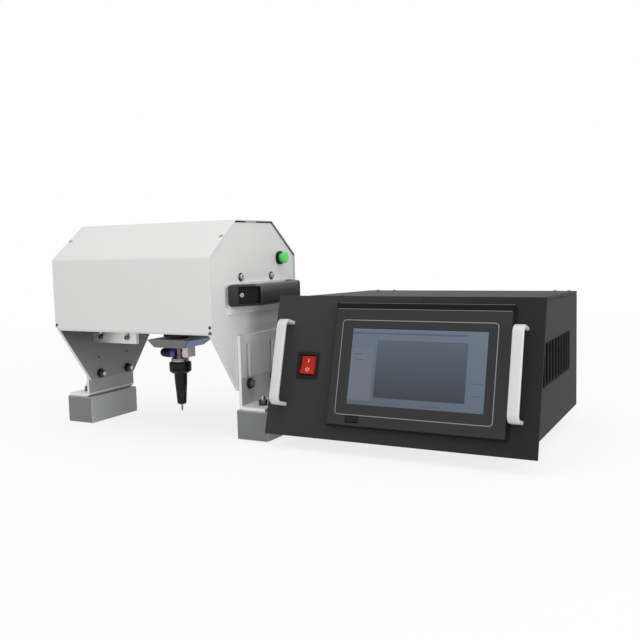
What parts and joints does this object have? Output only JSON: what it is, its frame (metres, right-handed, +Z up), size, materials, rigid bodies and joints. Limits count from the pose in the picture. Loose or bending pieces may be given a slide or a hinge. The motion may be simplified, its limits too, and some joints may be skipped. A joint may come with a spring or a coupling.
{
  "type": "pneumatic nameplate marking machine",
  "caption": "Pin marking head under a bent sheet hood on slotted legs and foot blocks, with a sloped control box that carries a screen, a rocker switch and grab handles",
  "frame": {"origin": "on the table, under the middle of the bounding box of the marking head and its control box", "axes": "+X from the marking head to the control box, +Y from the front to the back, +Z up"},
  "size_m": [0.6772, 0.3422, 0.2791],
  "materials": {
    "hood_white": "light grey-white powder coat, fine texture",
    "plate_grey": "light grey powder coat",
    "foot_grey": "satin grey metallic paint",
    "bracket_grey": "satin zinc plated sheet steel",
    "black_plastic": "black, fine moulded texture",
    "green_plastic": "bright green, smooth",
    "bright_steel": "bright turned or ground steel",
    "aluminium": "milled, bead blasted",
    "tray_grey": "grey paint",
    "blue_plate": "blue paint, half gloss",
    "blue_ring": "violet blue, smooth",
    "brass": "nickel plated, slightly dull",
    "block_white": "light grey, smooth",
    "case_black": "black powder coat, fine texture",
    "screen": "screen with its picture on, smooth",
    "red_plastic": "lit red rocker, smooth",
    "motor_black": "black paint, cast ends",
    "board_green": "green circuit board",
    "foot_rubber": "black rubber",
    "grab_white": "white gloss paint"
  },
  "bodies": {
    "frame": {"hood": "hood_white", "side_plate_left": "plate_grey", "side_plate_right": "plate_grey", "cross_beam_front": "aluminium", "cross_beam_rear": "aluminium", "handle_left": "black_plastic", "handle_right": "black_plastic", "start_button_ring": "black_plastic", "leg_bolt_left_front": "bright_steel", "leg_bolt_left_rear": "bright_steel", "leg_bolt_right_front": "bright_steel", "leg_bolt_right_rear": "bright_steel", "rod_plate_front": "aluminium", "rod_plate_rear": "aluminium", "guide_rod_outer": "bright_steel", "guide_rod_inner": "bright_steel", "y_motor": "motor_black", "support_rail": "bright_steel", "head_socket": "bright_steel", "air_inlet": "brass", "case_pan": "case_black", "case_lid": "case_black", "front_plate": "case_black", "screen_housing": "black_plastic", "screen_glass": "screen", "rocker_frame": "black_plastic", "grab_handle_left": "grab_white", "grab_handle_right": "grab_white", "box_foot_1": "foot_rubber", "box_foot_2": "foot_rubber", "box_foot_3": "foot_rubber", "box_foot_4": "foot_rubber", "power_supply": "bright_steel", "control_board": "board_green", "mains_inlet": "black_plastic", "box_socket": "bright_steel"},
    "button": {"start_button_cap": "green_plastic"},
    "leg_left": {"leg_bracket_left": "bracket_grey", "foot_block_left": "foot_grey"},
    "leg_right": {"leg_bracket_right": "bracket_grey", "foot_block_right": "foot_grey"},
    "gantry": {"y_slide_block": "aluminium", "gantry_beam": "aluminium", "x_motor": "motor_black"},
    "y_screw_shaft": {"y_screw": "bright_steel"},
    "x_screw_shaft": {"x_screw": "bright_steel"},
    "carriage": {"x_carriage": "aluminium", "carriage_tray": "tray_grey", "tray_side_guard": "blue_plate", "manifold_block": "block_white", "air_fitting_ring": "blue_ring", "pen_neck": "bright_steel", "pen_collar": "black_plastic", "pen_body": "black_plastic", "pin_spring": "bright_steel"},
    "elbow": {"air_elbow": "black_plastic"},
    "pin": {"marking_pin": "bright_steel"},
    "rocker": {"power_rocker": "red_plastic"},
    "flap": {"socket_flap": "black_plastic"},
    "fan": {"fan_rotor": "black_plastic"}
  },
  "joints": [
    {"name": "left_leg_height", "type": "slide", "parent": "frame", "child": "leg_left", "axis": [0, 0, 1], "range_m": [-0.048, 0]},
    {"name": "right_leg_height", "type": "slide", "parent": "frame", "child": "leg_right", "axis": [0, 0, 1], "range_m": [-0.048, 0]},
    {"name": "start_button_press", "type": "slide", "parent": "frame", "child": "button", "axis": [1, 0, 0], "range_m": [-0.003, 0], "stiffness_N_per_m": 600},
    {"name": "beam_travel", "type": "slide", "parent": "frame", "child": "gantry", "axis": [0, 1, 0], "range_m": [-0.01, 0.058]},
    {"name": "front_to_back_screw", "type": "hinge", "parent": "frame", "child": "y_screw_shaft", "pos_m": [-0.2509, -0.05215, 0.146], "axis": [0, 1, 0], "range_deg": [-200, 1100]},
    {"name": "carriage_travel", "type": "slide", "parent": "gantry", "child": "carriage", "axis": [1, 0, 0], "range_m": [-0.042, 0.048]},
    {"name": "side_to_side_screw", "type": "hinge", "parent": "gantry", "child": "x_screw_shaft", "pos_m": [-0.1694, -0.04415, 0.182], "axis": [1, 0, 0], "range_deg": [-800, 900]},
    {"name": "pin_strike", "type": "slide", "parent": "carriage", "child": "pin", "axis": [0, 0, 1], "range_m": [-0.006, 0], "stiffness_N_per_m": 400, "springref_m": 0.002, "deforming": ["pin_spring"]},
    {"name": "elbow_swivel", "type": "hinge", "parent": "carriage", "child": "elbow", "pos_m": [-0.1574, -0.11615, 0.1075], "axis": [1, 0, 0], "range_deg": [-180, 0]},
    {"name": "power_switch", "type": "hinge", "parent": "frame", "child": "rocker", "pos_m": [0.0592, -0.11263, 0.09949], "axis": [1, 0, 0], "range_deg": [0, 18]},
    {"name": "flap_hinge", "type": "hinge", "parent": "frame", "child": "flap", "pos_m": [0.1265, -0.13888, 0.04122], "axis": [1, 0, 0], "range_deg": [0, 90]},
    {"name": "fan_spin", "type": "hinge", "parent": "frame", "child": "fan", "pos_m": [0.2306, 0.14385, 0.108], "axis": [0, 1, 0], "continuous": true}
  ],
  "couplings": [
    {"joint": "front_to_back_screw", "follows": "beam_travel", "rad_per_m": 314.16},
    {"joint": "side_to_side_screw", "follows": "carriage_travel", "rad_per_m": 314.16}
  ]
}
